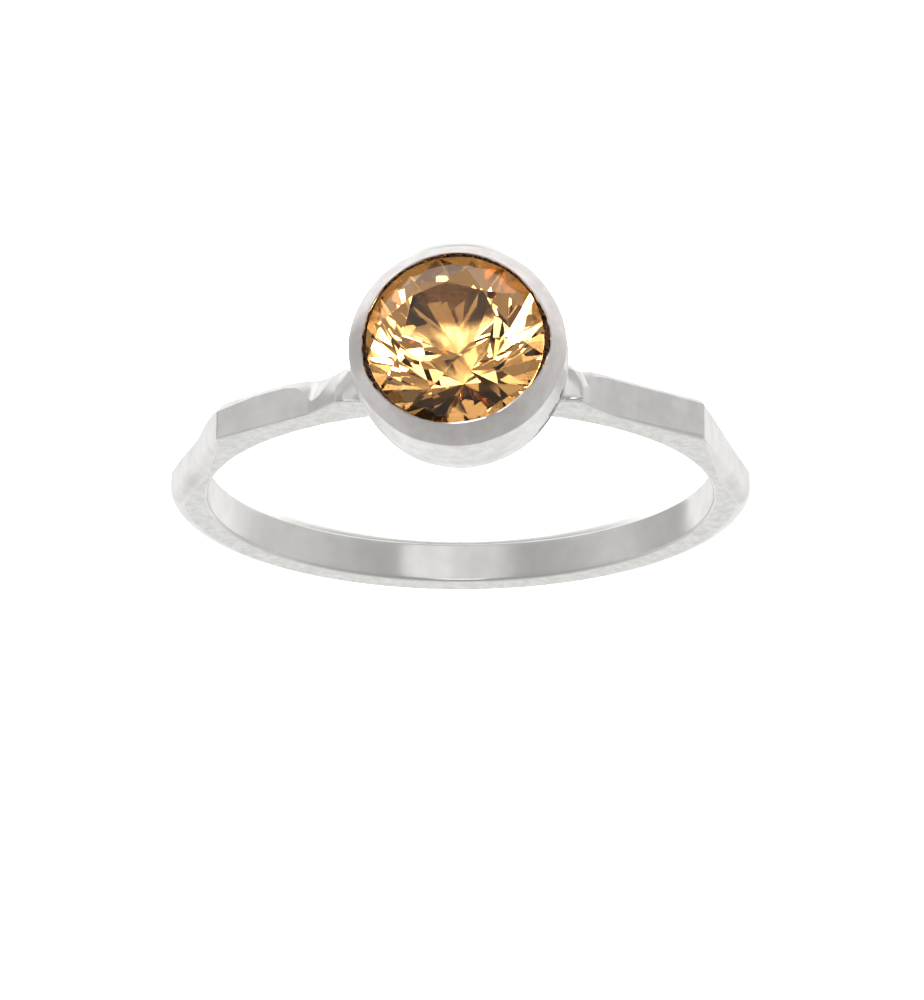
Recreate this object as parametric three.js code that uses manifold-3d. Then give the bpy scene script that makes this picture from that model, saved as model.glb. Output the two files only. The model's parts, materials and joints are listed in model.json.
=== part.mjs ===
// A silver ring: a flat-sided band with hand-filed facets, and a round cup soldered on top that holds a cut citrine.
// Millimetres. The ring is drawn with the finger's axis along Z and the stone towards +Y, then laid on its side.
import * as THREE from "three";
import { mergeVertices } from "three/addons/utils/BufferGeometryUtils.js";
import { ConvexHull } from "three/addons/math/ConvexHull.js";
import Module from "manifold-3d";

const wasm = await Module();
wasm.setup();

// The band
const FINGER_BORE = 17.3;       // inside diameter
const BAND_WALL = 1.31;         // thickness of the plain part
const BAND_WIDTH = 1.4;         // along the finger
const BAND_EDGE = 0.12;         // size of the broken edges
const PLATFORM_WALL = 1.05;     // thickness under the cup, where the band is filed flat
const SHOULDER_RUN = 0.15;      // how far the flat runs on past the cup, on each side
const STEP_RUN = 0.5;           // one shoulder goes on this much further
const STEP_DROP = 0.15;

// Corners of the filed facets. angle is in degrees from the stone towards +X, and wall is the thickness there as a share
// of the plain part's. The band is plain and round from the last corner on each side down.
const RIGHT_CORNERS = [
  { angle: 30.5, wall: 0.84 },
  { angle: 53.3, wall: 1.18 },
  { angle: 92.9, wall: 1.0 },
];
const LEFT_CORNERS = [
  { angle: -29.7, wall: 0.95 },
  { angle: -53.5, wall: 1.16 },
  { angle: -92.9, wall: 1.0 },
];

// The stone, a round brilliant cut by hand
const STONE_DIAMETER = 6.0;
const GIRDLE_HEIGHT = 0.18;
const TABLE_SHARE = 0.52;       // of the diameter
const CROWN_ANGLE = 42;         // degrees from the girdle's plane, as cut for quartz
const STAR_ANGLE = 30;
const PAVILION_ANGLE = 43;
const LOWER_HALF_SHARE = 0.77;  // how far the lower halves reach from the girdle to the point
const STONE_TURN = 11.25;       // degrees that the first main facet is turned from +X

// Corners of the table, one for each main facet. turn is in degrees past the facet's own direction, and reach is a
// share of the table's mean radius.
const TABLE_CORNERS = [
  { turn: 4, reach: 0.96 },
  { turn: -6, reach: 1.03 },
  { turn: -3, reach: 1.02 },
  { turn: -6, reach: 1.11 },
  { turn: 9, reach: 1.18 },
  { turn: -7, reach: 1.05 },
  { turn: -4, reach: 0.78 },
  { turn: 13, reach: 0.85 },
];

// The cup
const CUP_WALL = 0.42;          // outside the stone's pocket
const STONE_GAP = 0.08;         // all round the stone
const SOLDER_SINK = 0.1;        // how deep the cup's foot sits in the band
const CUP_FLOOR = 0.75;
const CULET_GAP = 0.17;         // under the stone's point
const CUP_FOOT_RADIUS = 2.3;
const CUP_ROUND_HEIGHT = 2.5;   // height of the rounded underside
const LEDGE_WIDTH = 0.38;       // the bearing under the girdle
const LIP_OVERLAP = 0.07;       // how far the lip reaches over the girdle
const LIP_HEIGHT = 0.3;         // above the girdle
const LIP_THICKNESS = 0.1;
const RIM_RISE = 0.7;           // height of the burnished slope
const CUP_SHIFT = 0.11;         // of the foot's centre towards +X
const CUP_LEAN = 4;             // degrees, of the whole setting towards -X
const SOLDER_REACH = 1.0;       // how far the solder runs out along the band from the cup's foot
const SOLDER_HEIGHT = 0.55;     // how far it climbs the cup
const SOLDER_BITE = 0.03;       // how far it runs into the cup's wall

// Weights for the pose at rest, in grams per cubic millimetre
const SILVER_DENSITY = 0.01036;
const CITRINE_DENSITY = 0.00265;

const ROUND_STEPS = 96;
const GIRDLE_STEPS = 64;
const MAIN_FACETS = 8;

const boreRadius = FINGER_BORE / 2;
const platform = boreRadius + PLATFORM_WALL;
const girdleRadius = STONE_DIAMETER / 2;
const pocketRadius = girdleRadius + STONE_GAP;
const cupRadius = pocketRadius + CUP_WALL;
const tableRadius = girdleRadius * TABLE_SHARE;
const crownHeight = (girdleRadius - tableRadius) * tangent(CROWN_ANGLE);
const pavilionDepth = girdleRadius * tangent(PAVILION_ANGLE);

// Heights along the setting's axis, from the finger's centre
const footHeight = platform - SOLDER_SINK;
const floorHeight = footHeight + CUP_FLOOR;
const girdleBottom = floorHeight + CULET_GAP + pavilionDepth;
const girdleTop = girdleBottom + GIRDLE_HEIGHT;
const lipHeight = girdleTop + LIP_HEIGHT;
const rimHeight = lipHeight - RIM_RISE;

function tangent(degrees) {
  return Math.tan(THREE.MathUtils.degToRad(degrees));
}

// A closed solid from a geometry whose faces meet at shared corners.
function solidOf(geometry) {
  const bare = geometry.clone();
  bare.deleteAttribute("normal");
  bare.deleteAttribute("uv");
  const merged = mergeVertices(bare, 1e-5);
  return new wasm.Manifold(new wasm.Mesh({
    numProp: 3,
    vertProperties: new Float32Array(merged.attributes.position.array),
    triVerts: new Uint32Array(merged.index.array),
  }));
}

function geometryOf(solid) {
  const mesh = solid.getMesh();
  const geometry = new THREE.BufferGeometry();
  geometry.setAttribute("position", new THREE.BufferAttribute(mesh.vertProperties, 3));
  geometry.setIndex(new THREE.BufferAttribute(mesh.triVerts, 1));
  geometry.computeVertexNormals();
  return geometry;
}

// A corner of the band's outline, from a row of the tables above.
function bandCorner({ angle, wall }) {
  const turn = THREE.MathUtils.degToRad(angle);
  const radius = boreRadius + BAND_WALL * wall;
  return new THREE.Vector2(radius * Math.sin(turn), radius * Math.cos(turn));
}

// The band seen along the finger: flat under the cup, filed facets at the sides, round below.
function bandOutline() {
  const shoulder = cupRadius + SHOULDER_RUN;
  const right = RIGHT_CORNERS.map(bandCorner);
  const left = LEFT_CORNERS.map(bandCorner);
  const start = right.at(-1).angle();
  const end = left.at(-1).angle();
  const outline = new THREE.Shape();
  outline.moveTo(-shoulder, platform);
  [...left.slice(0, -1)].forEach((corner) => outline.lineTo(corner.x, corner.y));
  outline.absarc(0, 0, left.at(-1).length(), end, start, false);
  right.slice(0, -1).reverse().forEach((corner) => outline.lineTo(corner.x, corner.y));
  outline.lineTo(shoulder + STEP_RUN, platform - STEP_DROP);
  outline.lineTo(shoulder, platform);
  const bore = new THREE.Path();
  bore.absarc(0, 0, boreRadius, 0, 2 * Math.PI, true);
  outline.holes.push(bore);
  return outline;
}

function bandSolid() {
  const geometry = new THREE.ExtrudeGeometry(bandOutline(), {
    depth: BAND_WIDTH - 2 * BAND_EDGE,
    curveSegments: ROUND_STEPS / 2,
    bevelThickness: BAND_EDGE,
    bevelSize: BAND_EDGE,
    bevelOffset: -BAND_EDGE,
    bevelSegments: 2,
  });
  geometry.translate(0, 0, BAND_EDGE - BAND_WIDTH / 2);
  return solidOf(geometry);
}

// Half of the cup's section, from its axis round the outside, over the lip and down the inside.
function cupProfile() {
  const lipRadius = girdleRadius - LIP_OVERLAP;
  const ledgeRadius = girdleRadius - LEDGE_WIDTH;
  const seatDrop = (LEDGE_WIDTH + STONE_GAP) * tangent(PAVILION_ANGLE);
  const underside = new THREE.EllipseCurve(
    CUP_FOOT_RADIUS, footHeight + CUP_ROUND_HEIGHT,
    cupRadius - CUP_FOOT_RADIUS, CUP_ROUND_HEIGHT,
    -Math.PI / 2, 0,
  );
  const slope = new THREE.QuadraticBezierCurve(
    new THREE.Vector2(cupRadius, rimHeight),
    new THREE.Vector2((cupRadius + lipRadius) / 2 + LIP_OVERLAP, lipHeight - RIM_RISE / 3),
    new THREE.Vector2(lipRadius, lipHeight),
  );
  return [
    new THREE.Vector2(0, footHeight),
    ...underside.getPoints(10),
    ...slope.getPoints(4),
    new THREE.Vector2(lipRadius, lipHeight - LIP_THICKNESS),
    new THREE.Vector2(pocketRadius, girdleTop + STONE_GAP / 2),
    new THREE.Vector2(pocketRadius, girdleBottom),
    new THREE.Vector2(ledgeRadius, girdleBottom - seatDrop),
    new THREE.Vector2(ledgeRadius, floorHeight),
    new THREE.Vector2(0, floorHeight),
  ];
}

function cupSolid() {
  return solidOf(new THREE.LatheGeometry(cupProfile(), ROUND_STEPS));
}

// The fillet of solder between the band's flat and the cup's round underside, as wide as the band.
function solderSolid() {
  const top = platform + SOLDER_HEIGHT;
  const rise = 1 - (top - footHeight) / CUP_ROUND_HEIGHT;
  const cupHere = CUP_FOOT_RADIUS + (cupRadius - CUP_FOOT_RADIUS) * Math.sqrt(1 - rise ** 2);
  const topRadius = cupHere - SOLDER_BITE;
  const reach = CUP_FOOT_RADIUS + SOLDER_REACH;
  const hollow = new THREE.QuadraticBezierCurve(
    new THREE.Vector2(reach, platform),
    new THREE.Vector2(topRadius, platform),
    new THREE.Vector2(topRadius, top),
  );
  const start = new THREE.Vector2(CUP_FOOT_RADIUS - SOLDER_BITE, footHeight);
  const profile = [start, new THREE.Vector2(reach, footHeight), ...hollow.getPoints(6), start];
  const width = new THREE.BoxGeometry(4 * reach, 4 * SOLDER_HEIGHT, BAND_WIDTH - 2 * BAND_EDGE);
  width.translate(0, platform, 0);
  return solidOf(new THREE.LatheGeometry(profile, ROUND_STEPS)).intersect(solidOf(width));
}

// A point of the stone at a height and a direction, in degrees from +X towards -Z.
function stonePoint(radius, height, degrees) {
  const turn = THREE.MathUtils.degToRad(degrees);
  return new THREE.Vector3(radius * Math.cos(turn), height, -radius * Math.sin(turn));
}

function meetingPoint(a, b, c) {
  const point = new THREE.Vector3();
  const bc = new THREE.Vector3().crossVectors(b.normal, c.normal);
  const ca = new THREE.Vector3().crossVectors(c.normal, a.normal);
  const ab = new THREE.Vector3().crossVectors(a.normal, b.normal);
  point.addScaledVector(bc, -a.constant).addScaledVector(ca, -b.constant).addScaledVector(ab, -c.constant);
  return point.divideScalar(a.normal.dot(bc));
}

// The plane through three points, facing away from the stone's middle.
function facetThrough(a, b, c) {
  const plane = new THREE.Plane().setFromCoplanarPoints(a, b, c);
  const middle = new THREE.Vector3(0, girdleBottom, 0);
  return plane.distanceToPoint(middle) > 0 ? plane.negate() : plane;
}

// A main facet holds one point of the table or the culet, and touches the girdle along its direction.
function mainFacet(tip, height, degrees) {
  const side = stonePoint(1, 0, degrees + 90);
  const onGirdle = stonePoint(girdleRadius, height, degrees);
  return facetThrough(tip, onGirdle, onGirdle.clone().add(side));
}

// A star facet runs down from one edge of the table.
function starFacet(a, b) {
  const edge = b.clone().sub(a).normalize();
  const outward = new THREE.Vector3(edge.z, 0, -edge.x);
  const middle = a.clone().add(b).divideScalar(2);
  outward.multiplyScalar(Math.sign(outward.dot(new THREE.Vector3(middle.x, 0, middle.z))));
  const lower = a.clone().add(outward);
  lower.y -= tangent(STAR_ANGLE);
  return facetThrough(a, b, lower);
}

// Two halves lie between a point of the cut and the girdle, on each side of a direction.
function halfFacets(point, height, degrees, span) {
  const middle = stonePoint(girdleRadius, height, degrees);
  return [-span, span].map((turn) =>
    facetThrough(point, middle, stonePoint(girdleRadius, height, degrees + turn)));
}

function stoneFacets() {
  const step = 360 / MAIN_FACETS;
  const culet = new THREE.Vector3(0, girdleBottom - pavilionDepth, 0);
  const table = TABLE_CORNERS.map(({ turn, reach }, i) =>
    stonePoint(tableRadius * reach, girdleTop + crownHeight, i * step + turn));
  const crown = table.map((corner, i) => mainFacet(corner, girdleTop, i * step));
  const pavilion = table.map((corner, i) => mainFacet(culet, girdleBottom, i * step));
  const facets = [...crown, ...pavilion];
  for (let i = 0; i < MAIN_FACETS; i++) {
    const next = (i + 1) % MAIN_FACETS;
    const between = (i + 0.5) * step;
    const star = starFacet(table[i], table[next]);
    const starTip = meetingPoint(star, crown[i], crown[next]);
    const ridgeTop = stonePoint(girdleRadius / Math.cos(Math.PI / MAIN_FACETS), girdleBottom, between);
    const lowerTip = ridgeTop.lerp(culet, LOWER_HALF_SHARE);
    facets.push(star);
    facets.push(...halfFacets(starTip, girdleTop, between, step / 2));
    facets.push(...halfFacets(lowerTip, girdleBottom, between, step / 2));
  }
  return facets;
}

// The rough is a round disc, and each facet is cut from it in turn.
function stoneSolid() {
  const top = girdleTop + crownHeight;
  const bottom = girdleBottom - pavilionDepth;
  const rough = new THREE.CylinderGeometry(girdleRadius, girdleRadius, top - bottom, GIRDLE_STEPS);
  rough.rotateY(Math.PI / 2);
  rough.translate(0, (top + bottom) / 2, 0);
  const stone = stoneFacets().reduce(
    (solid, { normal, constant }) => solid.trimByPlane(normal.clone().negate().toArray(), constant),
    solidOf(rough),
  );
  return stone.rotate([0, STONE_TURN, 0]);
}

// The setting leans a little, and turns about the middle of the cup's foot.
function settingMatrix() {
  const lean = new THREE.Matrix4().makeRotationZ(THREE.MathUtils.degToRad(CUP_LEAN));
  const place = new THREE.Matrix4().makeTranslation(CUP_SHIFT, footHeight, 0);
  return place.multiply(lean).multiply(new THREE.Matrix4().makeTranslation(0, -footHeight, 0));
}

function inSetting(solid) {
  return solid.transform(settingMatrix().toArray());
}

// The volume and the centre of mass of a closed geometry.
function bulk(geometry) {
  const corner = [new THREE.Vector3(), new THREE.Vector3(), new THREE.Vector3()];
  const moment = new THREE.Vector3();
  let volume = 0;
  for (let i = 0; i < geometry.index.count; i += 3) {
    corner.forEach((point, k) => point.fromBufferAttribute(geometry.attributes.position, geometry.index.getX(i + k)));
    const part = corner[0].dot(corner[1].clone().cross(corner[2])) / 6;
    corner.forEach((point) => moment.addScaledVector(point, part / 4));
    volume += part;
  }
  return { volume, centre: moment.divideScalar(volume) };
}

function metal() {
  return new THREE.MeshStandardMaterial({ color: "#c9c6c3", metalness: 1, roughness: 0.18 });
}

function citrine() {
  return new THREE.MeshStandardMaterial({ color: "#e5b765", metalness: 0, roughness: 0.03 });
}

function named(name, solid, material) {
  const mesh = new THREE.Mesh(geometryOf(solid), material);
  mesh.name = name;
  return mesh;
}

// The direction that points down when the ring lies on its side: the face of its hull that the weight falls through.
function restingDown(meshes, weightCentre) {
  const points = meshes.flatMap(({ geometry: { attributes: { position } } }) =>
    Array.from({ length: position.count }, (_, i) => new THREE.Vector3().fromBufferAttribute(position, i)));
  const faces = new ConvexHull().setFromPoints(points).faces;
  let down = new THREE.Vector3(0, 0, -1);
  let under = null;
  for (let face = null; face !== under || face === null;) {
    under = face;
    const drop = ({ normal, constant }) => (constant - normal.dot(weightCentre)) / normal.dot(down);
    face = faces.filter(({ normal }) => normal.dot(down) > 0).reduce((a, b) => (drop(b) < drop(a) ? b : a));
    down = face.normal.clone();
  }
  return down;
}

// Turns the ring so that it lies as it would by itself, with the stone to the front, -Y.
function layDown(ring, meshes, densities) {
  const parts = meshes.map((mesh) => bulk(mesh.geometry));
  const weights = parts.map(({ volume }, i) => volume * densities[i]);
  const total = weights.reduce((sum, weight) => sum + weight, 0);
  const centre = parts.reduce((sum, part, i) => sum.addScaledVector(part.centre, weights[i] / total), new THREE.Vector3());
  const up = restingDown(meshes, centre).negate();
  const back = new THREE.Vector3(0, -1, 0).projectOnPlane(up).normalize();
  const right = new THREE.Vector3().crossVectors(back, up);
  ring.quaternion.setFromRotationMatrix(new THREE.Matrix4().makeBasis(right, back, up).transpose());
  const box = new THREE.Box3().setFromObject(ring, true);
  ring.position.set(-(box.min.x + box.max.x) / 2, -(box.min.y + box.max.y) / 2, -box.min.z);
  ring.updateMatrixWorld(true);
}

const setting = cupSolid().add(solderSolid());
const silver = named("silver_band_and_cup", bandSolid().add(inSetting(setting)), metal());
const stone = named("citrine_stone", inSetting(stoneSolid()), citrine());
const ring = new THREE.Group();
ring.add(silver, stone);
layDown(ring, [silver, stone], [SILVER_DENSITY, CITRINE_DENSITY]);

export default ring;
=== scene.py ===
"""A silver ring with a round citrine, lying on its side on a pale floor.

The scene is in metres. The ring's own parts are drawn in millimetres in the ring's frame: x to the right as the wearer
looks at the stone, g from the finger's centre towards the stone, f along the finger. to_row() brings them to the scene.
"""
import json
import math

import bmesh
import bpy
import numpy as np
from mathutils import Matrix, Vector


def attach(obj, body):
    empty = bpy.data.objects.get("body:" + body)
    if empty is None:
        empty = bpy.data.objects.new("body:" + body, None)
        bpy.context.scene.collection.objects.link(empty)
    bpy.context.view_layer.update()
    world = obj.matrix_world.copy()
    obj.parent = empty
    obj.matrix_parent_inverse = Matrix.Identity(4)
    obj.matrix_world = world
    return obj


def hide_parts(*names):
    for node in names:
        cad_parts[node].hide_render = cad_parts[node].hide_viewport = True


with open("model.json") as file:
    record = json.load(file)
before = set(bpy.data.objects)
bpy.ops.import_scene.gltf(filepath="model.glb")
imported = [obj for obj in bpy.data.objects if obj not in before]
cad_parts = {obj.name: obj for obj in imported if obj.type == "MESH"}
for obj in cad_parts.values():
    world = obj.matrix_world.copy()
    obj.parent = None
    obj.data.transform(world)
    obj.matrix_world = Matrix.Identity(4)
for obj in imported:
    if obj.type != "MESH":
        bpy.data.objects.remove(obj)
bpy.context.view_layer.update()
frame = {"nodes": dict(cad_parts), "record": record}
MM = 0.001
MICROMETRE = 1e-6

# The band, in millimetres
BORE_RADIUS = 8.65
WALL = 1.31                     # thickness of the plain part
WIDTH = 1.4                     # along the finger
PLATFORM = BORE_RADIUS + 1.05   # height of the flat under the cup
MIDDLE_OF_SIDE = BORE_RADIUS + WALL / 2

# The setting, in millimetres and from the finger's centre
CUP_SHIFT = 0.11
CUP_LEAN = 4                    # degrees
FOOT = PLATFORM - 0.1
FOOT_RADIUS = 2.3
UNDERSIDE = 2.5                 # height of the rounded underside
POCKET_RADIUS = 3.08
CUP_RADIUS = 3.5
POCKET_FLOOR = 10.35
GIRDLE_BOTTOM = 13.317
GIRDLE_TOP = 13.497
LEDGE_RADIUS = 2.62
LIP_RADIUS = 2.93
LIP_TOP = 13.797
RIM_EDGE = 13.097


def linear(code):
    """A colour's linear values, from its sRGB hex code."""
    parts = [int(code[i:i + 2], 16) / 255 for i in (1, 3, 5)]
    return tuple(p / 12.92 if p <= 0.04045 else ((p + 0.055) / 1.055) ** 2.4 for p in parts) + (1.0,)


def add(tree, kind, settings=None, inputs=None):
    """A new node of that kind. settings are its properties, and inputs are values or other nodes' outputs."""
    node = tree.nodes.new(kind)
    for name, value in (settings or {}).items():
        setattr(node, name, value)
    for name, value in (inputs or {}).items():
        if isinstance(value, bpy.types.NodeSocket):
            tree.links.new(value, node.inputs[name])
        else:
            node.inputs[name].default_value = value
    return node


def dot(tree, vector, axis):
    """How far that vector reaches along the axis."""
    return add(tree, "ShaderNodeVectorMath", {"operation": "DOT_PRODUCT"}, {0: vector, 1: tuple(axis)}).outputs["Value"]


def mixed(tree, share, first, second):
    """A colour between two others: the first where the share is 0, and the second where it is 1."""
    return add(tree, "ShaderNodeMix", {"data_type": "RGBA"}, {0: share, 6: first, 7: second}).outputs[2]


# The ring's frame, from the two flat sides that the record names

def ring_frame():
    """A matrix from millimetres in the ring's frame to the scene."""
    mounts = {m["name"]: m for m in frame["record"]["mounts"]}
    over, under = mounts["band_side_over"], mounts["band_side_under"]
    f = Vector(over["axis"]).normalized()
    g = Vector((1, 0, 0)).cross(f).normalized()
    x = g.cross(f)
    middle = (Vector(over["pos_m"]) + Vector(under["pos_m"])) / 2
    centre = middle + g * MIDDLE_OF_SIDE * MM
    turn = Matrix((x, g, f)).transposed()
    return Matrix.Translation(centre) @ turn.to_4x4() @ Matrix.Scale(MM, 4)


RING = ring_frame()
CENTRE = RING.to_translation()
X_AXIS, G_AXIS, F_AXIS = (RING.to_3x3() @ Vector(v) / MM for v in ((1, 0, 0), (0, 1, 0), (0, 0, 1)))


def to_row(points):
    """Points in the ring's frame, in millimetres, to the scene."""
    matrix = np.array(RING)
    return np.asarray(points, float) @ matrix[:3, :3].T + matrix[:3, 3]


def from_setting(points):
    """Points of the setting, drawn upright on its own axis, to the ring's frame."""
    lean = Matrix.Translation((CUP_SHIFT, FOOT, 0)) @ Matrix.Rotation(math.radians(CUP_LEAN), 4, "Z")
    matrix = np.array(lean @ Matrix.Translation((0, -FOOT, 0)))
    return np.asarray(points, float) @ matrix[:3, :3].T + matrix[:3, 3]


def of_setting(x, height):
    """A point of the setting's own drawing, in the scene."""
    return Vector(to_row(from_setting([(x, height, 0)]))[0])


CUP_BASE = of_setting(0, FOOT)
CUP_AXIS = (of_setting(0, FOOT + 1) - CUP_BASE).normalized()
CUP_SIDE = (of_setting(1, FOOT) - CUP_BASE).normalized()


# The camera

VIEW_DISTANCE = 0.26            # metres from the ring's centre
VIEW_TILT = math.radians(19.5)  # between the line of sight and the stone's direction
PHOTO_HEIGHT = 1000             # pixels
PIXELS_PER_MM = 29.2            # at the ring's centre
SENSOR = 36.0                   # millimetres
OFF_CENTRE = (0.051, -0.685)    # of the camera, to its right and upwards, in millimetres


def make_camera():
    """A long lens that looks down on the stone, with the ring's x axis level."""
    towards = G_AXIS * math.cos(VIEW_TILT) + F_AXIS * math.sin(VIEW_TILT)
    upwards = G_AXIS * math.sin(VIEW_TILT) - F_AXIS * math.cos(VIEW_TILT)
    data = bpy.data.cameras.new("camera")
    data.sensor_width = SENSOR
    data.lens = PIXELS_PER_MM * VIEW_DISTANCE / MM * SENSOR / PHOTO_HEIGHT
    camera = bpy.data.objects.new("camera", data)
    bpy.context.scene.collection.objects.link(camera)
    right, up = OFF_CENTRE
    place = CENTRE + towards * VIEW_DISTANCE + (X_AXIS * right + upwards * up) * MM
    camera.matrix_world = Matrix.Translation(place) @ Matrix((X_AXIS, upwards, towards)).transposed().to_4x4()
    bpy.context.scene.camera = camera


# The silver

SHANK_RADIUS = BORE_RADIUS + WALL
# Corners of the band's outline from the left end facet over the cup to the right one, in millimetres. near is the edge
# towards the viewer, +f, and far is the other. The band is round below the end facets.
OUTLINE = [                     # x, g on the near edge, g on the far edge
    (-9.947, -0.504, -0.504),
    (-8.175, 6.05, 5.95),
    (-6.08, 7.66, 7.62),
    (-5.30, 8.26, 8.20),
    (-5.07, 8.44, 8.32),
    (-4.80, 8.74, 8.48),
    (-4.15, 9.62, 8.92),
    (-3.90, 9.70, 9.14),
    (-3.63, 9.70, 9.40),
    (-3.30, 9.70, 9.60),
    (3.50, 9.70, 9.66),
    (4.02, 9.66, 9.42),
    (4.30, 9.25, 9.10),
    (4.56, 8.92, 8.82),
    (4.85, 8.59, 8.56),
    (5.20, 8.24, 8.27),
    (5.90, 7.69, 7.73),
    (8.175, 6.05, 6.05),
    (9.947, -0.504, -0.504),
]
# Rounding of the band's outer edges by the angle from the stone towards +x, in degrees and millimetres
ROUNDING = [                    # angle, near edge, width of the far edge's, depth of the far edge's
    (-180, 0.42, 0.35, 0.35),
    (-75, 0.50, 0.40, 0.40),
    (-60, 0.34, 0.38, 0.34),
    (-54, 0.06, 0.42, 0.36),
    (-45, 0.05, 0.24, 0.26),
    (-37, 0.05, 0.24, 0.27),
    (-34, 0.05, 0.34, 0.36),
    (-32, 0.05, 0.62, 0.50),
    (-30, 0.05, 1.0, 0.56),
    (-28, 0.05, 0.86, 0.50),
    (-25, 0.05, 0.40, 0.30),
    (-22, 0.05, 0.22, 0.18),
    (19.5, 0.05, 0.14, 0.12),
    (21.5, 0.05, 0.30, 0.26),
    (23.2, 0.05, 0.86, 0.56),
    (24.2, 0.05, 0.80, 0.52),
    (26, 0.05, 0.26, 0.22),
    (30, 0.06, 0.15, 0.13),
    (44, 0.10, 0.14, 0.12),
    (53, 0.16, 0.16, 0.14),
    (56, 0.12, 0.18, 0.16),
    (62, 0.22, 0.24, 0.24),
    (78, 0.50, 0.36, 0.36),
    (180, 0.42, 0.35, 0.35),
]
INNER_ROUNDING = 0.10           # of the bore's two edges
FILED = 60                      # degrees to each side of the stone that are filed
FILED_STEP, PLAIN_STEP, OUTLINE_STEP = 0.25, 0.8, 0.05      # degrees
CREASE = 0.22                   # degrees, how soft the filed creases are
CREASE_REACH = 1.5              # degrees to each side over which they are softened
LEVEL_SHARE = 0.12              # of the width that stays level before the face falls towards its far edge
FALL_CURVE = 1.5                # the power with which it falls
FILED_FLAT = 0.75               # how flat the far edge is filed, from 0 for round to 1
FLAT_FADE = 6                   # degrees over which that ends
DENT = (-74, 5, -0.09)          # a row of rises()
BAND_WAVES = [(0.0025, 1.8, 3), (0.0004, 0.35, 4)]          # height, size and seed
NEAR_ARC, FACE, FAR_ARC, SIDE, INNER_ARC, BORE_FACE = 7, 24, 11, 7, 7, 6    # rows of faces across


def waves(u, v, size, seed):
    """Gentle unevenness between about -1 and 1, the same each run. u and v are in millimetres, as is size."""
    draw = np.random.default_rng(seed)
    total = 0
    for _ in range(6):
        turn, phase = draw.uniform(0, 2 * math.pi, 2)
        step = 2 * math.pi / (size * draw.uniform(0.6, 1.6))
        total = total + np.sin(step * (u * math.cos(turn) + v * math.sin(turn)) + phase)
    return total / 3


def band_angles():
    """Angles round the band in degrees, close together where it is filed."""
    filed = np.arange(-FILED, FILED, FILED_STEP)
    right = np.arange(FILED, 180, PLAIN_STEP)
    left = np.arange(-180, -FILED, PLAIN_STEP)
    return np.concatenate([left, filed, right])


def outline_radius(column):
    """The band's outer radius at fine steps round it, with the creases a little soft. Returns angles and radii."""
    angles = np.arange(-180, 180, OUTLINE_STEP)
    radii = np.full(len(angles), SHANK_RADIUS)
    corners = [(row[0], row[column]) for row in OUTLINE]
    ends = [math.degrees(math.atan2(x, g)) for x, g in corners]
    for (ax, ag), (bx, bg), first, last in zip(corners, corners[1:], ends, ends[1:]):
        here = (angles >= first) & (angles <= last)
        turn = np.radians(angles[here])
        cross = ax * bg - ag * bx
        radii[here] = cross / (np.sin(turn) * (bg - ag) - np.cos(turn) * (bx - ax))
    reach = np.arange(-CREASE_REACH, CREASE_REACH + 0.0001, OUTLINE_STEP)
    weights = np.exp(-0.5 * (reach / CREASE) ** 2)
    padded = np.concatenate([radii[-len(reach):], radii, radii[:len(reach)]])
    soft = np.convolve(padded, weights / weights.sum(), "same")
    return angles, soft[len(reach):-len(reach)]


def grid_mesh(points, materials):
    """Faces between the points of a grid that is closed both ways. materials has one number a column."""
    rows, columns = points.shape[:2]
    first = np.arange(rows)
    corner = first[:, None] * columns + np.arange(columns)
    below = ((first + 1) % rows)[:, None] * columns + np.arange(columns)
    faces = np.stack([corner, np.roll(corner, -1, 1), np.roll(below, -1, 1), below], -1).reshape(-1, 4)
    return points.reshape(-1, 3), faces, np.tile(materials, rows)


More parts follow.
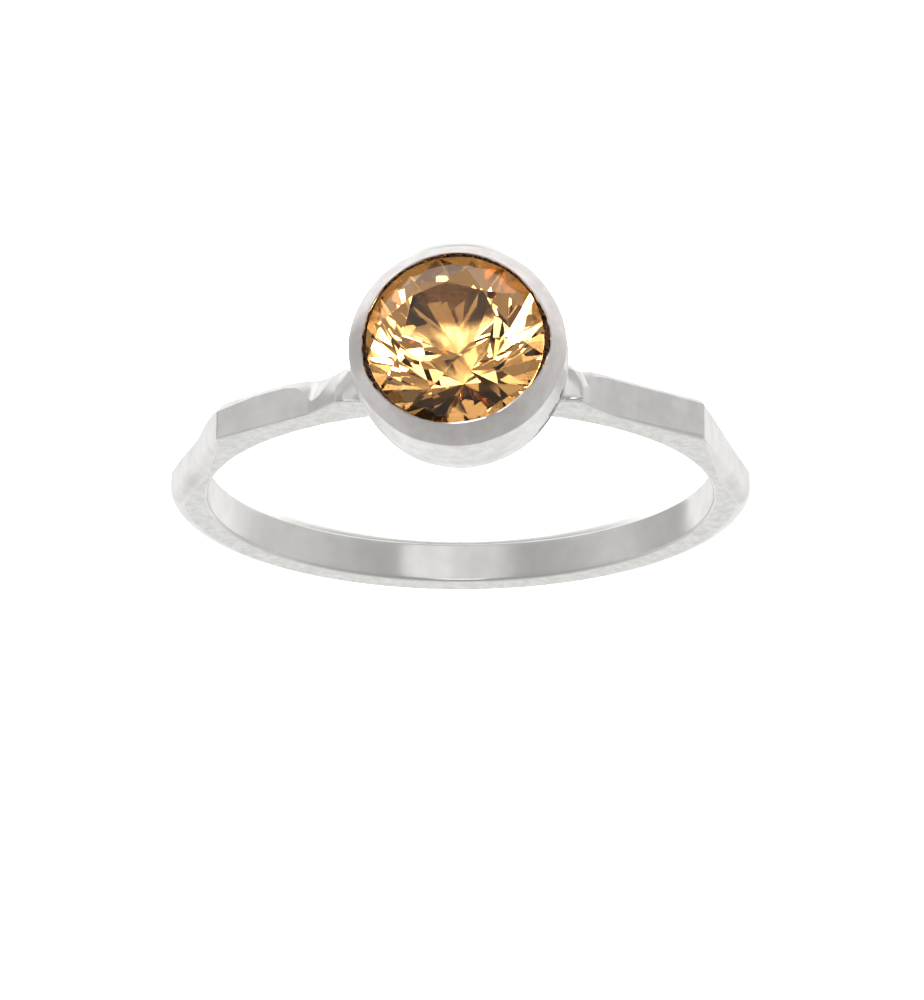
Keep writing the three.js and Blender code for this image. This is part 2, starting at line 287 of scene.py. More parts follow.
def make_band():
    """The filed band: its outer face, its far side, its bore and its near side, as one closed grid."""
    half = WIDTH / 2
    angles = band_angles()[:, None]
    fine, near_radii = outline_radius(1)
    far_radii = outline_radius(2)[1]
    near = np.interp(angles, fine, near_radii)
    far = np.interp(angles, fine, far_radii)
    table = np.array(ROUNDING)
    near_round, far_wide, far_deep = (np.interp(angles, table[:, 0], table[:, k]) for k in (1, 2, 3))
    flat_ends = (-FILED, FLAT_FADE - FILED, FILED - FLAT_FADE, FILED)
    flat = np.interp(angles, flat_ends, (0, FILED_FLAT, FILED_FLAT, 0))

    quarter = np.radians(np.linspace(90, 0, NEAR_ARC))
    face = np.linspace(0, 1, FACE + 2)[1:-1]
    far_quarter = np.radians(np.linspace(0, 90, FAR_ARC))
    top = half - near_round
    bottom = far_wide - half
    z = np.concatenate([
        top + near_round * np.sin(quarter),
        top + (bottom - top) * face,
        bottom - far_wide * np.sin(far_quarter),
    ], 1)
    drop = np.concatenate([
        near_round * (1 - np.cos(quarter)),
        np.zeros((len(angles), FACE)),
        far_deep * ((1 - flat) * (1 - np.cos(far_quarter)) + flat * np.sin(far_quarter)),
    ], 1)
    share = np.clip(((half - z) / WIDTH - LEVEL_SHARE) / (1 - LEVEL_SHARE), 0, 1)
    arc = np.radians(angles) * SHANK_RADIUS
    radius = near + (far - near) * share ** FALL_CURVE - drop
    radius = rises(angles, [DENT], radius)
    for height, size, seed in BAND_WAVES:
        radius = radius + height * waves(arc, z, size, seed)

    bore = BORE_RADIUS + INNER_ROUNDING
    side = np.linspace(0, 1, SIDE + 2)[1:-1]
    inner_quarter = np.radians(np.linspace(0, 90, INNER_ARC))
    straight = np.linspace(1, -1, BORE_FACE + 2)[1:-1] * (half - INNER_ROUNDING)
    rows = (len(angles), 1)
    far_side = radius[:, -1:] + (bore - radius[:, -1:]) * side
    near_side = bore + (radius[:, :1] - bore) * side
    inner_radius = np.concatenate([
        bore - INNER_ROUNDING * np.sin(inner_quarter),
        np.full(BORE_FACE, BORE_RADIUS),
        bore - INNER_ROUNDING * np.sin(inner_quarter[::-1]),
    ])
    inner_z = np.concatenate([
        INNER_ROUNDING * (1 - np.cos(inner_quarter)) - half,
        straight[::-1],
        half - INNER_ROUNDING * (1 - np.cos(inner_quarter[::-1])),
    ])
    radius = np.concatenate([radius, far_side, np.tile(inner_radius, rows), near_side], 1)
    flat_far, flat_near = (np.full((len(angles), SIDE), side_z) for side_z in (-half, half))
    z = np.concatenate([z, flat_far, np.tile(inner_z, rows), flat_near], 1)
    turn = np.radians(angles)
    points = np.stack([radius * np.sin(turn), radius * np.cos(turn), z], -1)
    outer = [POLISHED] * (NEAR_ARC + FACE + FAR_ARC - 1)
    inner = [BORE] * (2 * INNER_ARC + BORE_FACE - 1)
    flat_side = [BRUSHED] * (SIDE + 1)
    return new_mesh("band", *grid_mesh(points, outer + flat_side + inner + flat_side))


def bump(angle, middle, width):
    """A soft rise round that direction, in degrees."""
    away = (angle - middle + 180) % 360 - 180
    return np.exp(-0.5 * (away / width) ** 2)


def rises(angle, table, start=0):
    """Soft rises on top of start. The table's rows are direction and width in degrees, and height."""
    return sum((height * bump(angle, middle, width) for middle, width, height in table), start)


def arc_points(centre, radius, first, last, count):
    """Points on an arc between two directions in degrees."""
    turn = np.radians(np.linspace(first, last, count))
    return [(centre[0] + radius * math.cos(t), centre[1] + radius * math.sin(t)) for t in turn]


CUP_STEPS = 420                 # round it
UNDER_ARC, WALL_ROWS, RIM_ARC, SLOPE_ROWS = 18, 8, 5, 15    # points up its section
FOOT_RING = 0.6                 # of the foot's radius, where its flat has a ring of corners
WALL_INSET = 0.02               # by which the wall is narrower than its solid, so that its waves stay inside
RIM_ROUNDING = 0.045            # of the corner between wall and slope
RIM_TURN = 0.9                  # of the turn to the slope, as the slope bulges
SWELL = 0.016                   # how much the burnished slope bulges
LIP_FLAT = (0.05, 0.012)        # from the slope's end to the lip's top, across and up
LIP_BEVEL = (0.012, 0.014)      # of its edge, across and down
LIP_THICKNESS = 0.10            # at its edge
LIP_SLOPE = 0.07                # how much its underside falls towards the pocket
LEAST_LIP = 0.01                # by which the pocket is wider than the lip
MOST_FRAY = 0.03                # by which the lip draws back from the stone
GIRDLE_ROOM = 0.04              # over the girdle
SEAT_DROP = 0.43                # from the girdle to the ledge
FLOOR_BEVEL = 0.05              # round the pocket's floor
WAVE_CIRCLE = 3                 # radius of the circle along which the unevenness of cup and solder is drawn
# Rows of rises(), from +x towards +f
LOOSE_LIP = [(158, 24, 0.17), (6, 17, 0.19)]
RAGGED_LIP = [(150, 35, 1.0), (10, 25, 0.7), (285, 30, 0.5)]
WIDER_WALL = [(0, 36, 0.12), (180, 30, 0.05)]
SHORTER_UNDERSIDE = [(90, 45, -0.8)]
HIGHER_EDGE = [(162, 30, 0.17)]
EVEN_RAG = 0.4                  # how ragged the lip is between those
SHADED_UNDER_WALL = (16, 62)            # degrees, where the wall turns under and painted shade lies along its edge
UNDER_WALL_SHADE = (34, 16, 4)           # where the painted shade is widest, how wide that is and how many faces it then takes
LIMB = 1.65                     # the tangent of the underside's turn at which the wall, at +f, goes out of sight


def cup_profile(even_lip, lip_radius, lip_top, pocket, edge_radius, edge_height, underside):
    """Half of the cup's section: radius, height and material, from the foot's middle round the outside to the pocket.
    The slope runs up to the even lip, and only the lip's own edge is ragged."""
    outside = [(0.0, FOOT, SATIN), (FOOT_RADIUS * FOOT_RING, FOOT, SATIN)]
    for degrees in np.linspace(0, 90, UNDER_ARC):
        t = math.radians(degrees)
        radius = FOOT_RADIUS + (edge_radius - FOOT_RADIUS) * math.sin(t)
        outside.append((radius, FOOT + underside * (1 - math.cos(t)), SATIN))
    wall = edge_height - RIM_ROUNDING - FOOT - underside
    for share in np.linspace(0, 1, WALL_ROWS)[1:-1]:
        outside.append((edge_radius, FOOT + underside + wall * share, SATIN))
    slope_turn = math.degrees(math.atan2(edge_radius - even_lip, lip_top - edge_height))
    corner = (edge_radius - RIM_ROUNDING, edge_height - RIM_ROUNDING)
    for r, h in arc_points(corner, RIM_ROUNDING, 0, slope_turn * RIM_TURN, RIM_ARC):
        outside.append((r, h, RIM))
    flat_across, flat_up = LIP_FLAT
    bevel_across, bevel_down = LIP_BEVEL
    low = Vector(outside[-1][:2])
    high = Vector((even_lip + flat_across, lip_top - flat_up))
    swell = (low + high) / 2 + Vector((SWELL, SWELL))
    for share in np.linspace(0, 1, SLOPE_ROWS)[1:-1]:
        point = low * (1 - share) ** 2 + swell * 2 * share * (1 - share) + high * share ** 2
        outside.append((point.x, point.y, RIM))
    inside = [
        (high.x, high.y, RIM),
        (lip_radius + bevel_across, lip_top, RIM),
        (lip_radius, lip_top - bevel_down, DARK),
        (lip_radius, lip_top - LIP_THICKNESS, DARK),
        ((lip_radius + pocket) / 2, lip_top - LIP_THICKNESS - LIP_SLOPE, DARK),
        (pocket, GIRDLE_TOP + GIRDLE_ROOM, DARK),
        (pocket, GIRDLE_BOTTOM, DARK),
        (LEDGE_RADIUS, GIRDLE_BOTTOM - SEAT_DROP, POCKET),
        (LEDGE_RADIUS, POCKET_FLOOR + FLOOR_BEVEL, POCKET),
        (LEDGE_RADIUS - FLOOR_BEVEL, POCKET_FLOOR, POCKET),
        (0.0, POCKET_FLOOR, POCKET),
    ]
    return outside + inside


def make_cup():
    """The hand-made cup, as its section at each step round it. The closed back and the floor are fans."""
    columns = []
    for step in range(CUP_STEPS):
        angle = 360 * step / CUP_STEPS
        t = math.radians(angle)
        x, z = WAVE_CIRCLE * math.cos(t), WAVE_CIRCLE * math.sin(t)
        ragged = rises(angle, RAGGED_LIP, EVEN_RAG)
        fray = 0.014 * ragged * waves(x, z, 0.35, 11) + 0.012 * waves(x, z, 1.5, 12)
        even_lip = LIP_RADIUS + rises(angle, LOOSE_LIP)
        lip_radius = even_lip + min(fray, MOST_FRAY)
        lip_top = LIP_TOP + 0.012 * waves(x, z, 2.6, 13) + 0.002 * ragged * waves(x, z, 0.4, 14)
        pocket = max(POCKET_RADIUS, lip_radius + LEAST_LIP)
        edge = rises(angle, WIDER_WALL, CUP_RADIUS - WALL_INSET) + 0.012 * waves(x, z, 2.6, 15)
        underside = rises(angle, SHORTER_UNDERSIDE, UNDERSIDE)
        height = rises(angle, HIGHER_EDGE, RIM_EDGE) + 0.02 * waves(x, z, 3.4, 16)
        columns.append(cup_profile(even_lip, lip_radius, lip_top, pocket, edge, height, underside))
    table = np.array(columns)
    turn = np.radians(np.arange(CUP_STEPS) * 360 / CUP_STEPS)[:, None]
    radius, height = table[:, 1:-1, 0], table[:, 1:-1, 1]
    grid = np.stack([radius * np.cos(turn), height, radius * np.sin(turn)], -1)
    rows, count = grid.shape[:2]
    points, faces, _ = grid_mesh(grid, np.zeros(count, int))
    kept = faces.reshape(rows, count, 4)[:, :-1].reshape(-1, 4).tolist()
    materials = np.tile(table[0, 1:-2, 2].astype(int), (rows, 1))
    # painted shade: a strip of the dark silver along the underside, where the wall turns out of sight
    for step in range(*(round(CUP_STEPS * angle / 360) for angle in SHADED_UNDER_WALL)):
        angle = 360 * step / CUP_STEPS
        limb = round(math.degrees(math.atan(LIMB / math.sin(math.radians(angle)))) / 90 * (UNDER_ARC - 1))
        materials[step, limb:min(limb + round(rises(angle, [UNDER_WALL_SHADE])), UNDER_ARC)] = DARK
    materials = materials.reshape(-1).tolist()
    points = points.tolist() + [(0, FOOT, 0), (0, POCKET_FLOOR, 0)]
    for i in range(rows):
        j = (i + 1) % rows
        kept.append([i * count, j * count, len(points) - 2])
        kept.append([i * count + count - 1, len(points) - 1, j * count + count - 1])
        materials += [SATIN, POCKET]
    return new_mesh("cup", from_setting(points), kept, materials)


def new_mesh(name, points, faces, materials):
    """An object from points in the ring's frame. Its faces point outwards."""
    mesh = bpy.data.meshes.new(name)
    mesh.from_pydata(to_row(points).tolist(), [], [list(map(int, face)) for face in faces])
    for material in SILVER_FINISHES:
        mesh.materials.append(material)
    mesh.polygons.foreach_set("material_index", np.asarray(materials, np.int32))
    bm = bmesh.new()
    bm.from_mesh(mesh)
    bmesh.ops.recalc_face_normals(bm, faces=bm.faces)
    bm.to_mesh(mesh)
    bm.free()
    piece = bpy.data.objects.new(name, mesh)
    bpy.context.scene.collection.objects.link(piece)
    return piece


SOLDER_REACH = 1.0              # out from the foot
SOLDER_HEIGHT = 0.55            # up the cup
SOLDER_DEPTH = 0.1              # below the foot, inside the band
SOLDER_BITE = 0.03              # into the cup
SOLDER_EDGE = 0.02              # of its thin edge, below and above the band's flat
SOLDER_FLOW = 0.03              # how unevenly it spread
SOLDER_STEPS, SOLDER_ARC = 300, 12                          # round it and up its section
SHADED_SOLDER_TOP = (2, 50)         # degrees from +x towards +f, where its top edge is painted dark as shade under the cup
SLAB = (14, 4, WIDTH - 0.1)     # which the solder is cut to, a little less wide than the band
BEAD_SIZE = (0.36, 0.09, 0.11)
BEAD_PLACE = (3.72, PLATFORM + 0.005, 0.59)
CLOSE_CORNERS = 0.002           # millimetres apart, which are joined
SHARP_EDGE = 32                 # degrees


def make_solder():
    """The hollow fillet of solder round the cup's foot, as wide as the band, drawn on the leaning cup's axis."""
    top = PLATFORM + SOLDER_HEIGHT
    rise = 1 - (top - FOOT) / UNDERSIDE
    here = FOOT_RADIUS + (CUP_RADIUS - FOOT_RADIUS) * math.sqrt(1 - rise ** 2) - SOLDER_BITE
    reach = FOOT_RADIUS + SOLDER_REACH
    low, high = PLATFORM - SOLDER_EDGE, PLATFORM + SOLDER_EDGE
    profile = [(FOOT_RADIUS - SOLDER_BITE, FOOT - SOLDER_DEPTH), (reach, FOOT - SOLDER_DEPTH)]
    for share in np.linspace(0, 1, SOLDER_ARC):
        a, b, c = (1 - share) ** 2, 2 * share * (1 - share), share ** 2
        profile.append((a * reach + b * here + c * here, a * low + b * high + c * top))
    turn = np.radians(np.arange(SOLDER_STEPS) * 360 / SOLDER_STEPS)[:, None]
    radius, height = np.array(profile)[:, 0], np.array(profile)[:, 1]
    spread = 1 + SOLDER_FLOW * waves(WAVE_CIRCLE * np.cos(turn), WAVE_CIRCLE * np.sin(turn), 0.8, 21)
    grid = np.stack([radius * spread * np.cos(turn), height + 0 * turn, radius * spread * np.sin(turn)], -1)
    points, faces, materials = grid_mesh(grid, [SOLDER] * len(profile))
    first, last = (round(SOLDER_STEPS * angle / 360) for angle in SHADED_SOLDER_TOP)
    # painted shade along the solder's top edge, where it meets the cup
    materials.reshape(SOLDER_STEPS, len(profile))[first:last, -4:-1] = DARK
    solder = new_mesh("solder", from_setting(points), faces, materials)
    bm = bmesh.new()
    bmesh.ops.create_cube(bm, size=1)
    bmesh.ops.scale(bm, vec=SLAB, verts=bm.verts)
    bmesh.ops.translate(bm, vec=(0, PLATFORM, 0), verts=bm.verts)
    corners = [v.co[:] for v in bm.verts]
    faces = [[v.index for v in f.verts] for f in bm.faces]
    bm.free()
    slab = new_mesh("slab", corners, faces, [SOLDER] * len(faces))
    combine(solder, slab, "INTERSECT")
    return solder


def combine(piece, other, operation):
    """Joins other to piece, or cuts piece by it, and removes other."""
    modifier = piece.modifiers.new("join", "BOOLEAN")
    modifier.operation = operation
    modifier.solver = "MANIFOLD"
    modifier.object = other
    bpy.context.view_layer.update()
    made = bpy.data.meshes.new_from_object(piece.evaluated_get(bpy.context.evaluated_depsgraph_get()))
    piece.modifiers.clear()
    piece.data = made
    bpy.data.objects.remove(other)


def make_bead():
    """A bead of solder that ran along the near edge beside the cup."""
    bm = bmesh.new()
    bmesh.ops.create_uvsphere(bm, u_segments=28, v_segments=16, radius=1)
    points = np.array([v.co[:] for v in bm.verts])
    faces = [[v.index for v in f.verts] for f in bm.faces]
    bm.free()
    points = points * BEAD_SIZE + BEAD_PLACE
    return new_mesh("bead", points, faces, [POLISHED] * len(faces))


def sharpen(mesh, degrees):
    """Smooth shading everywhere but over edges sharper than that angle."""
    bm = bmesh.new()
    bm.from_mesh(mesh)
    limit = math.radians(degrees)
    for face in bm.faces:
        face.smooth = True
    for edge in bm.edges:
        edge.smooth = not (edge.is_manifold and edge.calc_face_angle(0) > limit)
    bm.to_mesh(mesh)
    bm.free()


def make_silver():
    """Band, cup and solder as one closed mesh, as soldered metal is."""
    silver = make_band()
    for other in (make_cup(), make_solder(), make_bead()):
        combine(silver, other, "UNION")
    bm = bmesh.new()
    bm.from_mesh(silver.data)
    bmesh.ops.remove_doubles(bm, verts=bm.verts, dist=CLOSE_CORNERS * MM)
    # corners on an edge of two faces only would leave faces back to back once the faces are cut into triangles
    bmesh.ops.dissolve_verts(bm, verts=[vert for vert in bm.verts if len(vert.link_edges) == 2])
    bm.to_mesh(silver.data)
    bm.free()
    sharpen(silver.data, SHARP_EDGE)
    silver.name = silver.data.name = "silver_ring"
    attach(silver, "root")
    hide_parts("silver_band_and_cup")
    return silver


# The stone

EDGE_POLISH = 0.008             # millimetres, how wide the facets' worn edges are
STONE_SPREAD = 0.97             # of the largest stone that the pocket takes
STONE_SHIFT = (-0.02, 0, -0.04) # millimetres, how far it sits off the middle of its pocket
ONE_CORNER = 0.0005             # millimetres apart, which are one corner of the solid
ONE_FACET = 0.5                 # degrees between faces that are one facet


def make_stone():
    """The cut stone, from the frame's own solid, with its facets whole and their edges a little worn."""
    source = frame["nodes"]["citrine_stone"]
    bm = bmesh.new()
    bm.from_mesh(source.data)
    bmesh.ops.remove_doubles(bm, verts=bm.verts, dist=ONE_CORNER * MM)
    bmesh.ops.dissolve_limit(bm, angle_limit=math.radians(ONE_FACET), verts=bm.verts, edges=bm.edges)
    bmesh.ops.bevel(
        bm, geom=bm.edges[:], offset=EDGE_POLISH * MM, segments=1, profile=0.5, affect="EDGES", clamp_overlap=True,
    )
    shift = RING.to_3x3() @ Vector(STONE_SHIFT)
    for vert in bm.verts:
        off = vert.co - CUP_BASE
        height = off.dot(CUP_AXIS)
        vert.co = CUP_BASE + CUP_AXIS * height + (off - CUP_AXIS * height) * STONE_SPREAD + shift
    mesh = bpy.data.meshes.new("citrine_round_brilliant")
    bm.to_mesh(mesh)
    bm.free()
    mesh.materials.append(citrine())
    piece = bpy.data.objects.new("citrine_round_brilliant", mesh)
    bpy.context.scene.collection.objects.link(piece)
    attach(piece, "root")
    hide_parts("citrine_stone")
    return piece


# Floor and light

FLOOR_RADIUS = 1.5              # metres


def make_floor():
    """A pale matt floor. Metal and stone don't mirror it, but the light tent below the horizon instead."""
    material = bpy.data.materials.new("matt_white_paper")
    material.use_nodes = True
    tree = material.node_tree
    shader = tree.nodes["Principled BSDF"]
    place = add(tree, "ShaderNodeTexCoord").outputs["Object"]
    fibre = add(tree, "ShaderNodeTexNoise", None, {"Vector": place, "Scale": 1800.0, "Detail": 4.0})
    # uncoated paper: near white, with the faint cloudiness of its fibres
    colour = mixed(tree, fibre.outputs["Fac"], linear("#f3f3f1"), linear("#f7f7f5"))
    tree.links.new(colour, shader.inputs["Base Color"])
    shader.inputs["Roughness"].default_value = 0.9
    shader.inputs["Specular IOR Level"].default_value = 0.1
    bm = bmesh.new()
    bmesh.ops.create_circle(bm, cap_ends=True, segments=96, radius=FLOOR_RADIUS)
    mesh = bpy.data.meshes.new("floor")
    bm.to_mesh(mesh)
    bm.free()
    mesh.materials.append(material)
    floor = bpy.data.objects.new("floor", mesh)
    bpy.context.scene.collection.objects.link(floor)
    floor.visible_glossy = False
    floor.visible_transmission = False


def direction(x, g, f):
    """A direction in the ring's frame, as one in the scene."""
    return tuple((X_AXIS * x + G_AXIS * g + F_AXIS * f).normalized())


TENT_AXIS = (0, -0.85, -0.5)    # where the tent is brightest
TENT_TONES = [                  # towards the tent's axis, and brightness
    (-1.0, 0.36),
    (-0.62, 0.42),
    (-0.3, 0.53),
    (-0.1, 0.62),
    (0.36, 0.62),
    (0.48, 0.70),
    (0.58, 0.88),
    (0.66, 0.86),
    (0.76, 0.95),
    (0.88, 0.91),
    (1.0, 0.88),
]
FLOOR_LIGHT = 5.5               # brightness of the plain white that the camera and matt surfaces get
SILVER_LIGHTS = [               # direction, half its angle in degrees, softness in degrees, brightness
    ((-0.2, -0.48, -0.83), 20, 14, 1.0),
    ((0, 0.94, -0.33), 12, 16, 0.74),
    ((0.25, 0.91, -0.33), 7, 7, 0.88),
    ((-0.4, -0.1, -0.91), 9, 8, 1.2),
    ((0.4, -0.1, -0.91), 9, 8, 1.2),
    ((-0.884, -0.322, -0.334), 10, 12, 0.50),
    ((0, 0.97, 0.22), 10, 4, 2.0),
]
STONE_LIGHTS = [                # the same for light that has been through the stone, with the dark lens last
    ((0, 1, 0), 55, 20, 0.42),
    ((0, 0.97, 0.05), 9, 5, 5.0),
    ((0, 0.82, 0.58), 12, 4, 25.0),
    ((-0.30, 0.77, 0.42), 7, 3, 9.0),
    ((-0.42, 0.88, 0.10), 5, 3, 6.0),
    ((0, 0.943, 0.334), 6, 1.5, 0.02),
]


def with_lights(tree, towards, light, lights):
    """That light with round soft lights laid over it, the later ones over the earlier."""
    for aim, half, soft, tone in lights:
        mask = add(tree, "ShaderNodeMapRange", {"interpolation_type": "SMOOTHSTEP"}, {
            "Value": dot(tree, towards, direction(*aim)),
            "From Min": math.cos(math.radians(half + soft)),
            "From Max": math.cos(math.radians(half)),
        })
        light = mixed(tree, mask.outputs["Result"], light, (tone, tone, tone, 1))
    return light


def make_world():
    """A tent of light round the ring: pale behind and below it, grey at the sides and above. The light that has been
    through the stone comes from a wide box over the ring, with the lens dark in it."""
    world = bpy.data.worlds.new("light_tent")
    world.use_nodes = True
    tree = world.node_tree
    tree.nodes.clear()
    towards = add(tree, "ShaderNodeTexCoord").outputs["Generated"]
    along = dot(tree, towards, direction(*TENT_AXIS))
    share = add(tree, "ShaderNodeMapRange", None, {"Value": along, "From Min": -1.0, "From Max": 1.0})
    ramp = add(tree, "ShaderNodeValToRGB", None, {"Fac": share.outputs["Result"]})
    ramp.color_ramp.interpolation = "LINEAR"
    points = ramp.color_ramp.elements
    while len(points) < len(TENT_TONES):
        points.new(0.5)
    for point, (place, tone) in zip(points, TENT_TONES):
        point.position = (place + 1) / 2
        point.color = (tone, tone, tone, 1)
    tent = ramp.outputs["Color"]
    path = add(tree, "ShaderNodeLightPath")
    on_silver = with_lights(tree, towards, tent, SILVER_LIGHTS)
    through_stone = with_lights(tree, towards, tent, STONE_LIGHTS)
    light = mixed(tree, path.outputs["Is Transmission Ray"], on_silver, through_stone)
    plain = add(tree, "ShaderNodeMath", {"operation": "MAXIMUM"}, {
        0: path.outputs["Is Camera Ray"], 1: path.outputs["Is Diffuse Ray"],
    })
    light = mixed(tree, plain.outputs["Value"], light, (FLOOR_LIGHT, FLOOR_LIGHT, FLOOR_LIGHT, 1))
    background = add(tree, "ShaderNodeBackground", None, {"Color": light, "Strength": 1.0})
    add(tree, "ShaderNodeOutputWorld", None, {"Surface": background.outputs["Background"]})
    bpy.context.scene.world = world


# Materials

def around(tree, base, along, start, side, radius, sizes):
    """Where a point lies round an axis: along the arc, out from the axis and along it. sizes are the units in mm."""
    place = add(tree, "ShaderNodeTexCoord").outputs["Object"]
    off = add(tree, "ShaderNodeVectorMath", {"operation": "SUBTRACT"}, {0: place, 1: tuple(base)}).outputs["Vector"]
    parts = [dot(tree, off, axis / MM) for axis in (side, start, along)]
    turn = add(tree, "ShaderNodeMath", {"operation": "ARCTAN2"}, {0: parts[0], 1: parts[1]}).outputs["Value"]
    flat = add(tree, "ShaderNodeCombineXYZ", None, {"X": parts[0], "Y": parts[1]}).outputs["Vector"]
    out = add(tree, "ShaderNodeVectorMath", {"operation": "LENGTH"}, {0: flat}).outputs["Value"]
    counts = [add(tree, "ShaderNodeMath", {"operation": "MULTIPLY"}, {0: value, 1: factor}).outputs["Value"]
              for value, factor in ((turn, radius / sizes[0]), (out, 1 / sizes[1]), (parts[2], 1 / sizes[2]))]
    return add(tree, "ShaderNodeCombineXYZ", None, {"X": counts[0], "Y": counts[1], "Z": counts[2]}).outputs["Vector"]


BAND_ROUND = (CENTRE, F_AXIS, G_AXIS, X_AXIS, MIDDLE_OF_SIDE)
CUP_ROUND = (CUP_BASE, CUP_AXIS, CUP_SIDE, F_AXIS, CUP_RADIUS)


def metal(name, pale, deep, roughness, axis, sizes, depth, patch):
    """Worked metal. sizes are its marks' lengths round, out from and along the axis in mm, depth is the marks' depth in
    micrometres, and patch is the size in mm of the patches in which its colour and gloss vary."""
    material = bpy.data.materials.new(name)
    material.use_nodes = True
    tree = material.node_tree
    shader = tree.nodes["Principled BSDF"]
    shader.inputs["Metallic"].default_value = 1.0
    marks = add(tree, "ShaderNodeTexNoise", None, {
        "Vector": around(tree, *axis, sizes), "Scale": 1.0, "Detail": 3.0, "Roughness": 0.6,
    })
    bump_map = add(tree, "ShaderNodeBump", None, {
        "Height": marks.outputs["Fac"], "Strength": 1.0, "Distance": depth * MICROMETRE,
    })
    tree.links.new(bump_map.outputs["Normal"], shader.inputs["Normal"])
    place = add(tree, "ShaderNodeTexCoord").outputs["Object"]
    spots = add(tree, "ShaderNodeTexNoise", None, {
        "Vector": place, "Scale": 1000 / patch, "Detail": 4.0, "Roughness": 0.55,
    })
    mix = add(tree, "ShaderNodeMapRange", None, {
        "Value": spots.outputs["Fac"], "From Min": 0.35, "From Max": 0.65,
    }).outputs["Result"]
    tree.links.new(mixed(tree, mix, linear(deep), linear(pale)), shader.inputs["Base Color"])
    gloss = add(tree, "ShaderNodeMapRange", None, {
        "Value": mix, "To Min": roughness * 1.3, "To Max": roughness * 0.8,
    })
    tree.links.new(gloss.outputs["Result"], shader.inputs["Roughness"])
    return material


def paint_shade_far_side(material, code, first, last):
    """Paints shade on the metal towards -f, from none at the first distance along f in mm to all at the last."""
    tree = material.node_tree
    shader = tree.nodes["Principled BSDF"]
    unshaded = shader.inputs["Base Color"].links[0].from_socket
    place = add(tree, "ShaderNodeTexCoord").outputs["Object"]
    off = add(tree, "ShaderNodeVectorMath", {"operation": "SUBTRACT"}, {0: place, 1: tuple(CUP_BASE)}).outputs["Vector"]
    share = add(tree, "ShaderNodeMapRange", {"interpolation_type": "SMOOTHSTEP"}, {
        "Value": dot(tree, off, F_AXIS / MM), "From Min": last, "From Max": first,
    })
    # painted shade, mixed over the metal's own colour towards -f
    tree.links.new(mixed(tree, share.outputs["Result"], linear(code), unshaded), shader.inputs["Base Color"])
    return material


QUARTZ_INDEX = 1.55
LAP_LINES = (9000, 1500, 5000)  # the polishing lap's lines in a metre, each way
LAP_DEPTH = 0.1                 # micrometres


def citrine():
    """Clear golden quartz, cut and polished. Its colour is in its depth: short ways through it are straw, long ones
    amber. The faint lines of the polishing lap bend its reflections a little, and it is worn duller in spots."""
    material = bpy.data.materials.new("citrine_cut_and_polished")
    material.use_nodes = True
    tree = material.node_tree
    shader = tree.nodes["Principled BSDF"]
    shader.inputs["Base Color"].default_value = (1, 1, 1, 1)
    shader.inputs["IOR"].default_value = QUARTZ_INDEX
    shader.inputs["Transmission Weight"].default_value = 1.0
    place = add(tree, "ShaderNodeTexCoord").outputs["Object"]
    stretched = add(tree, "ShaderNodeVectorMath", {"operation": "MULTIPLY"}, {0: place, 1: LAP_LINES})
    lines = add(tree, "ShaderNodeTexNoise", None, {"Vector": stretched.outputs["Vector"], "Scale": 1.0, "Detail": 2.0})
    bump_map = add(tree, "ShaderNodeBump", None, {
        "Height": lines.outputs["Fac"], "Strength": 1.0, "Distance": LAP_DEPTH * MICROMETRE,
    })
    tree.links.new(bump_map.outputs["Normal"], shader.inputs["Normal"])
    wear = add(tree, "ShaderNodeTexNoise", None, {"Vector": place, "Scale": 2500.0, "Detail": 3.0})
    gloss = add(tree, "ShaderNodeMapRange", None, {
        "Value": wear.outputs["Fac"], "From Min": 0.55, "From Max": 0.75, "To Min": 0.0, "To Max": 0.04,
    }).outputs["Result"]
    tree.links.new(gloss, shader.inputs["Roughness"])
    volume = add(tree, "ShaderNodeVolumeAbsorption", None, {"Color": linear("#f9cf45"), "Density": 250.0})
    tree.links.new(volume.outputs["Volume"], tree.nodes["Material Output"].inputs["Volume"])
    return material


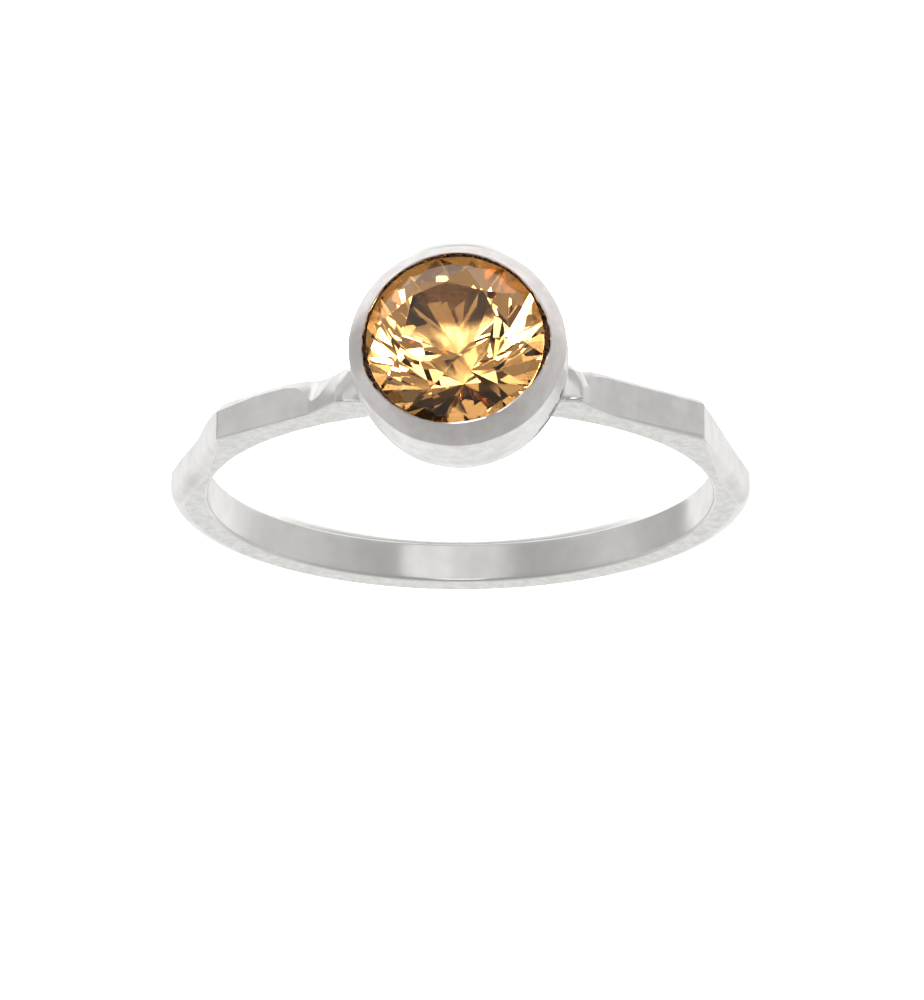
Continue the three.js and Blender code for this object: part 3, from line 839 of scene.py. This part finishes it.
# Places in the list below
POLISHED, BRUSHED, SATIN, RIM, BORE, POCKET, SOLDER, DARK = range(8)
SILVER_FINISHES = [
    # filed flat and buffed: an even grey mirror with hair lines along the band
    metal("sterling_silver_filed_and_buffed", "#f5f3f1", "#ebe8e6", 0.16, BAND_ROUND, (1.6, 0.2, 0.07), 0.4, 0.9),
    # drawn along fine paper: pale, with soft streaks that follow the band
    metal("sterling_silver_brushed_side", "#f0efec", "#e6e5e1", 0.28, BAND_ROUND, (1.2, 0.07, 0.3), 0.3, 0.3),
    # satin from the wheel: a pale wall with faint upright streaks
    metal("sterling_silver_satin_cup", "#f6f5f3", "#eeedea", 0.26, CUP_ROUND, (0.12, 0.3, 1.0), 0.4, 0.5),
    # pushed over the stone with a burnisher: grey and glossy, a little wavy
    metal("sterling_silver_burnished_rim", "#f4f0ed", "#ebe4e1", 0.17, CUP_ROUND, (0.6, 0.3, 0.5), 0.9, 0.5),
    # worn smooth inside
    metal("sterling_silver_polished_bore", "#f4f2ef", "#ebe9e6", 0.15, BAND_ROUND, (2.0, 0.2, 0.10), 0.5, 1.2),
    # the seat under the stone: bright, with painted shade on its far side, which turns the stone's middle golden brown
    paint_shade_far_side(
        metal("sterling_silver_bright_pocket", "#f4f3f0", "#e4e2dc", 0.19, CUP_ROUND, (0.5, 0.5, 0.5), 2.0, 1.4),
        "#17110a", -0.15, -0.85,
    ),
    # solder, left as it flowed: greyer and pitted
    metal("silver_solder_as_flowed", "#eeece8", "#c9c7c2", 0.26, BAND_ROUND, (0.09, 0.09, 0.09), 6.0, 0.15),
    # tarnish in the gap between lip and stone, and painted shade under the cup's wall and along the solder's top edge:
    # violet-black with bright scuffs
    metal("sterling_silver_tarnish_and_painted_shade", "#b6b4c6", "#1e1b27", 0.30, CUP_ROUND, (0.06, 0.06, 0.06), 8.0, 0.09),
]
make_silver()
make_stone()

scene = bpy.context.scene
scene.view_settings.view_transform = "Standard"
# enough for the long ways of light between the facets of the stone
scene.cycles.max_bounces = 24
scene.cycles.transmission_bounces = 24
scene.cycles.glossy_bounces = 12
make_camera()
make_floor()
make_world()
